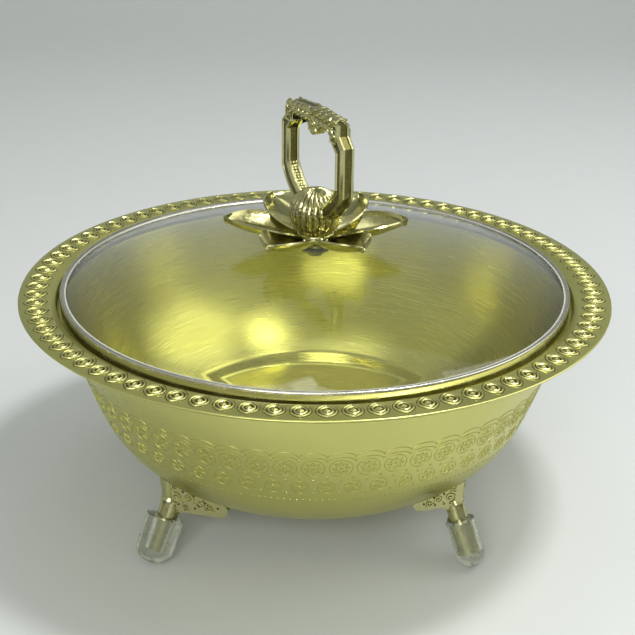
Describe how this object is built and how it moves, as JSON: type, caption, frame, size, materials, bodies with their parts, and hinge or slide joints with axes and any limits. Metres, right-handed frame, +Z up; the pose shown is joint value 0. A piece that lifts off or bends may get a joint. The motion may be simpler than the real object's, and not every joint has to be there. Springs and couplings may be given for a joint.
{
  "type": "chafing dish food warmer",
  "caption": "Round footed serving bowl with a patterned flange, lift-out food pan, banded glass lid, lotus and loop handle, cast legs and clear foot caps.",
  "frame": {"origin": "on the floor, on the vertical axis of the bowl", "axes": "+Z up, the front of the dish faces -Y, +X to the right"},
  "size_m": [0.3479, 0.348, 0.245],
  "materials": {
    "plated_sheet": "satin pale gold plating on spun sheet steel",
    "brushed_pan": "pale gold plating over a fine circular brush",
    "clear_glass": "clear tempered glass",
    "silicone": "translucent grey silicone",
    "steel_band": "rolled stainless steel",
    "zinc_steel": "zinc plated steel",
    "plated_casting": "bright pale gold plating on a die casting",
    "clear_plastic": "clear moulded plastic"
  },
  "bodies": {
    "stand_bowl": {"outer_bowl": "plated_sheet", "leg_front_right": "plated_casting", "leg_back_right": "plated_casting", "leg_back_left": "plated_casting", "leg_front_left": "plated_casting", "foot_cap_front_right": "clear_plastic", "foot_cap_back_right": "clear_plastic", "foot_cap_back_left": "clear_plastic", "foot_cap_front_left": "clear_plastic", "leg_screws": "zinc_steel", "leg_seal_washers": "silicone"},
    "food_pan": {"food_pan": "brushed_pan"},
    "lid": {"lid_glass": "clear_glass", "lid_seal": "silicone", "lid_band": "steel_band", "handle_top_gasket": "silicone", "handle_bottom_gasket": "silicone", "handle_washer": "zinc_steel", "handle_screw": "zinc_steel", "handle_base": "plated_casting", "handle_flower": "plated_casting", "handle_loop": "plated_casting", "handle_ball": "plated_casting"}
  },
  "joints": [
    {"name": "pan_lift", "type": "slide", "parent": "stand_bowl", "child": "food_pan", "axis": [0, 0, 1], "range_m": [0, 0.115]},
    {"name": "lid_lift", "type": "slide", "parent": "food_pan", "child": "lid", "axis": [0, 0, 1], "range_m": [0, 0.12]}
  ]
}
